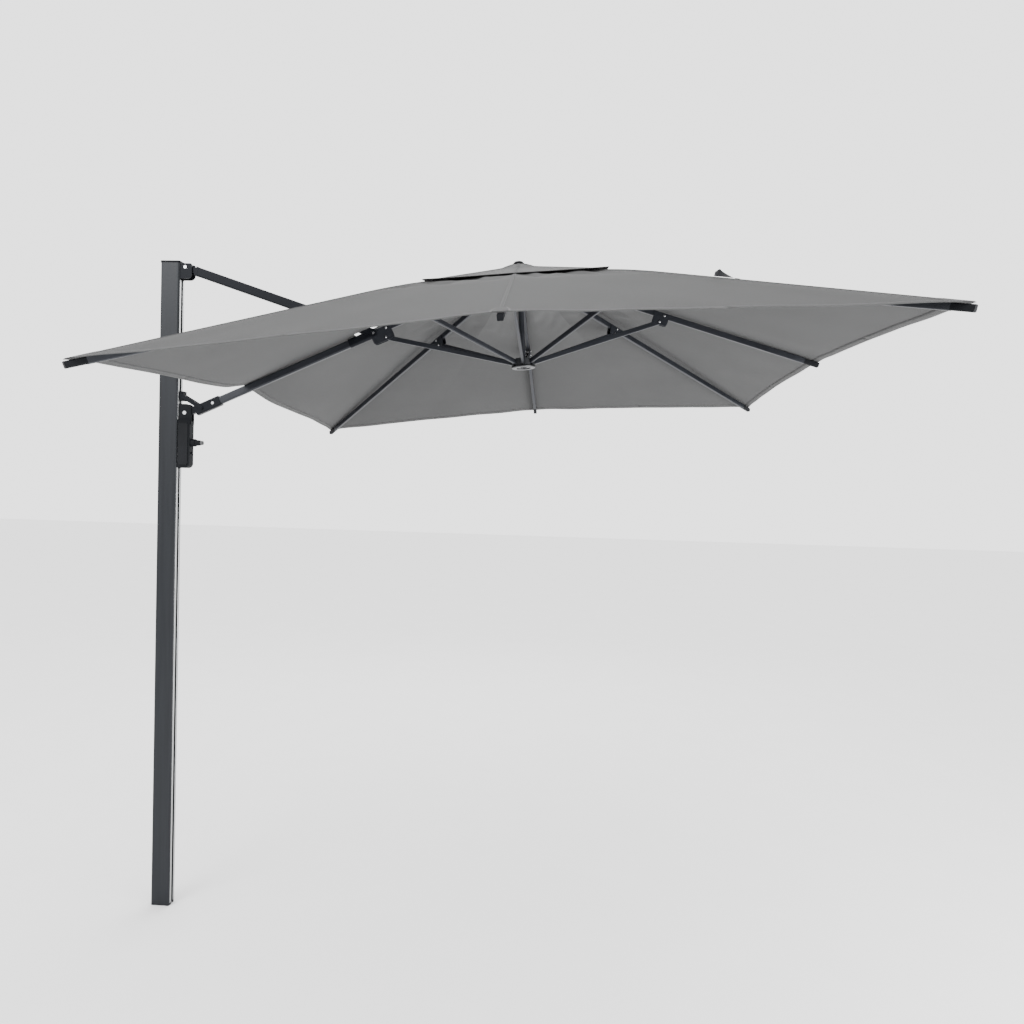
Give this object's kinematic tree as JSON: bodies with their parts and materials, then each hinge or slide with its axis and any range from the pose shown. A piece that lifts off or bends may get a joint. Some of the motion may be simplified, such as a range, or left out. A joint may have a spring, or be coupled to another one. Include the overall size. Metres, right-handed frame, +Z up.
{
  "type": "cantilever parasol",
  "caption": "Side-mast garden parasol: square pleated-rib canopy hung from a boom and an upper arm, with a sliding carriage on a slotted mast.",
  "frame": {"origin": "centre of the mast's foot face", "axes": "+Z up along the mast, +X from the mast towards the canopy, +Y to the left when looking along +X"},
  "size_m": [2.892, 2.5158, 2.9229],
  "materials": {
    "mast_metal": "satin powder-coated anthracite",
    "frame_metal": "satin powder-coated anthracite",
    "foot_metal": "plain",
    "black_plastic": "fine-textured",
    "bright_steel": "brushed",
    "canopy_cloth": "matt woven"
  },
  "bodies": {
    "mast": {"mast_profile": "mast_metal", "foot_plug": "foot_metal", "mast_top_cap": "black_plastic", "top_bracket": "frame_metal", "top_pivot_pin": "bright_steel", "bracket_bolt": "bright_steel"},
    "carriage": {"carriage_housing": "black_plastic", "slide_shoe": "black_plastic", "carriage_cover": "black_plastic", "boom_pivot_pin": "bright_steel", "carriage_plug": "black_plastic"},
    "crank": {"crank_socket": "black_plastic", "crank_drive_end": "bright_steel"},
    "link_slider": {"link_slider": "black_plastic"},
    "tilt_link": {"tilt_link": "frame_metal"},
    "boom": {"inner_rib": "frame_metal", "boom_head": "frame_metal", "boom_coupler": "black_plastic", "boom_tube": "frame_metal", "boom_knuckle": "black_plastic", "boom_rivets": "bright_steel"},
    "upper_arm": {"upper_arm_tube": "frame_metal", "upper_arm_eye": "black_plastic", "upper_arm_fork": "black_plastic"},
    "hub": {"hub_casting": "black_plastic", "hub_pins": "bright_steel", "guide_tube": "frame_metal", "crown_post": "black_plastic", "canopy_fabric": "canopy_cloth", "vent_cap": "canopy_cloth"},
    "runner": {"runner": "black_plastic"},
    "strut_1": {"strut_1": "frame_metal"},
    "rib_2": {"rib_2": "frame_metal", "rib_bracket_2": "frame_metal", "rib_tip_2": "black_plastic"},
    "strut_2": {"strut_2": "frame_metal"},
    "rib_3": {"rib_3": "frame_metal", "rib_bracket_3": "frame_metal", "rib_tip_3": "black_plastic"},
    "strut_3": {"strut_3": "frame_metal"},
    "rib_4": {"rib_4": "frame_metal", "rib_bracket_4": "frame_metal", "rib_tip_4": "black_plastic"},
    "strut_4": {"strut_4": "frame_metal"},
    "rib_5": {"rib_5": "frame_metal", "rib_bracket_5": "frame_metal", "rib_tip_5": "black_plastic"},
    "strut_5": {"strut_5": "frame_metal"},
    "rib_6": {"rib_6": "frame_metal", "rib_bracket_6": "frame_metal", "rib_tip_6": "black_plastic"},
    "strut_6": {"strut_6": "frame_metal"},
    "rib_7": {"rib_7": "frame_metal", "rib_bracket_7": "frame_metal", "rib_tip_7": "black_plastic"},
    "strut_7": {"strut_7": "frame_metal"},
    "rib_8": {"rib_8": "frame_metal", "rib_bracket_8": "frame_metal", "rib_tip_8": "black_plastic"},
    "strut_8": {"strut_8": "frame_metal"}
  },
  "joints": [
    {"name": "carriage_slide", "type": "slide", "parent": "mast", "child": "carriage", "axis": [0, 0, 1], "range_m": [-1.02, 0]},
    {"name": "boom_pivot", "type": "hinge", "parent": "carriage", "child": "boom", "pos_m": [0.07326, 0, 2.23664], "axis": [0, -1, 0], "range_deg": [-0.5, 43.78]},
    {"name": "arm_pivot", "type": "hinge", "parent": "mast", "child": "upper_arm", "pos_m": [0.067, 0, 2.882], "axis": [0, 1, 0], "range_deg": [-0.5, 48]},
    {"name": "slider_travel", "type": "slide", "parent": "carriage", "child": "link_slider", "axis": [0, 0, 1], "range_m": [-0.001, 0.08432]},
    {"name": "link_pivot", "type": "hinge", "parent": "link_slider", "child": "tilt_link", "pos_m": [0.058, 0, 2.312], "axis": [0, 1, 0], "range_deg": [-0.5, 29.36]},
    {"name": "canopy_fold", "type": "hinge", "parent": "boom", "child": "hub", "pos_m": [1.49861, 0, 2.86156], "axis": [0, 1, 0], "range_deg": [0, 56.84], "deforming": ["canopy_fabric"]},
    {"name": "crank_turn", "type": "hinge", "parent": "carriage", "child": "crank", "pos_m": [0.1, 0, 2.104], "axis": [1, 0, 0], "range_deg": [-1, 4321]},
    {"name": "runner_slide", "type": "slide", "parent": "hub", "child": "runner", "axis": [0.0765, 0, -0.9971], "range_m": [-0.001, 0.761]},
    {"name": "strut_1_pivot", "type": "hinge", "parent": "boom", "child": "strut_1", "pos_m": [0.97695, 0, 2.58764], "axis": [0, -1, 0], "range_deg": [-121.24, 0.5]},
    {"name": "rib_2_pivot", "type": "hinge", "parent": "hub", "child": "rib_2", "pos_m": [1.51467, -0.03889, 2.86279], "axis": [0.705, -0.7071, 0.0541], "range_deg": [-0.5, 60.24]},
    {"name": "strut_2_pivot", "type": "hinge", "parent": "rib_2", "child": "strut_2", "pos_m": [1.14667, -0.42306, 2.63738], "axis": [0.705, -0.7071, 0.0541], "range_deg": [-120.62, 0.5]},
    {"name": "rib_3_pivot", "type": "hinge", "parent": "hub", "child": "rib_3", "pos_m": [1.55345, -0.055, 2.86577], "axis": [0.9971, 0, 0.0765], "range_deg": [-0.5, 58.34]},
    {"name": "strut_3_pivot", "type": "hinge", "parent": "rib_3", "child": "strut_3", "pos_m": [1.5719, -0.5921, 2.62529], "axis": [0.9971, 0, 0.0765], "range_deg": [-124.75, 0.5]},
    {"name": "rib_4_pivot", "type": "hinge", "parent": "hub", "child": "rib_4", "pos_m": [1.59223, -0.03889, 2.86875], "axis": [0.705, 0.7071, 0.0541], "range_deg": [-0.5, 60.24]},
    {"name": "strut_4_pivot", "type": "hinge", "parent": "rib_4", "child": "strut_4", "pos_m": [1.99032, -0.42306, 2.70211], "axis": [0.705, 0.7071, 0.0541], "range_deg": [-120.62, 0.5]},
    {"name": "rib_5_pivot", "type": "hinge", "parent": "hub", "child": "rib_5", "pos_m": [1.60829, 0, 2.86998], "axis": [0, 1, 0], "range_deg": [-0.5, 58.34]},
    {"name": "strut_5_pivot", "type": "hinge", "parent": "rib_5", "child": "strut_5", "pos_m": [2.16226, 0, 2.67059], "axis": [0, 1, 0], "range_deg": [-124.75, 0.5]},
    {"name": "rib_6_pivot", "type": "hinge", "parent": "hub", "child": "rib_6", "pos_m": [1.59223, 0.03889, 2.86875], "axis": [-0.705, 0.7071, -0.0541], "range_deg": [-0.5, 60.24]},
    {"name": "strut_6_pivot", "type": "hinge", "parent": "rib_6", "child": "strut_6", "pos_m": [1.99032, 0.42306, 2.70211], "axis": [-0.705, 0.7071, -0.0541], "range_deg": [-120.62, 0.5]},
    {"name": "rib_7_pivot", "type": "hinge", "parent": "hub", "child": "rib_7", "pos_m": [1.55345, 0.055, 2.86577], "axis": [-0.9971, 0, -0.0765], "range_deg": [-0.5, 58.34]},
    {"name": "strut_7_pivot", "type": "hinge", "parent": "rib_7", "child": "strut_7", "pos_m": [1.5719, 0.5921, 2.62529], "axis": [-0.9971, 0, -0.0765], "range_deg": [-124.75, 0.5]},
    {"name": "rib_8_pivot", "type": "hinge", "parent": "hub", "child": "rib_8", "pos_m": [1.51467, 0.03889, 2.86279], "axis": [-0.705, -0.7071, -0.0541], "range_deg": [-0.5, 60.24]},
    {"name": "strut_8_pivot", "type": "hinge", "parent": "rib_8", "child": "strut_8", "pos_m": [1.14667, 0.42306, 2.63738], "axis": [-0.705, -0.7071, -0.0541], "range_deg": [-120.62, 0.5]}
  ],
  "couplings": [
    {"joint": "boom_pivot", "follows": "carriage_slide", "rad_per_m": -0.74054},
    {"joint": "arm_pivot", "follows": "carriage_slide", "rad_per_m": -0.81285},
    {"joint": "slider_travel", "follows": "carriage_slide", "ratio": -0.081683},
    {"joint": "link_pivot", "follows": "carriage_slide", "rad_per_m": -0.49375},
    {"joint": "crank_turn", "follows": "canopy_fold", "ratio": 75.997},
    {"joint": "runner_slide", "follows": "canopy_fold", "m_per_rad": 0.76604},
    {"joint": "strut_1_pivot", "follows": "canopy_fold", "ratio": -2.124},
    {"joint": "rib_2_pivot", "follows": "canopy_fold", "ratio": 1.0509},
    {"joint": "strut_2_pivot", "follows": "canopy_fold", "ratio": -2.1132},
    {"joint": "rib_3_pivot", "follows": "canopy_fold", "ratio": 1.0175},
    {"joint": "strut_3_pivot", "follows": "canopy_fold", "ratio": -2.1858},
    {"joint": "rib_4_pivot", "follows": "canopy_fold", "ratio": 1.0509},
    {"joint": "strut_4_pivot", "follows": "canopy_fold", "ratio": -2.1132},
    {"joint": "rib_5_pivot", "follows": "canopy_fold", "ratio": 1.0175},
    {"joint": "strut_5_pivot", "follows": "canopy_fold", "ratio": -2.1858},
    {"joint": "rib_6_pivot", "follows": "canopy_fold", "ratio": 1.0509},
    {"joint": "strut_6_pivot", "follows": "canopy_fold", "ratio": -2.1132},
    {"joint": "rib_7_pivot", "follows": "canopy_fold", "ratio": 1.0175},
    {"joint": "strut_7_pivot", "follows": "canopy_fold", "ratio": -2.1858},
    {"joint": "rib_8_pivot", "follows": "canopy_fold", "ratio": 1.0509},
    {"joint": "strut_8_pivot", "follows": "canopy_fold", "ratio": -2.1132}
  ]
}
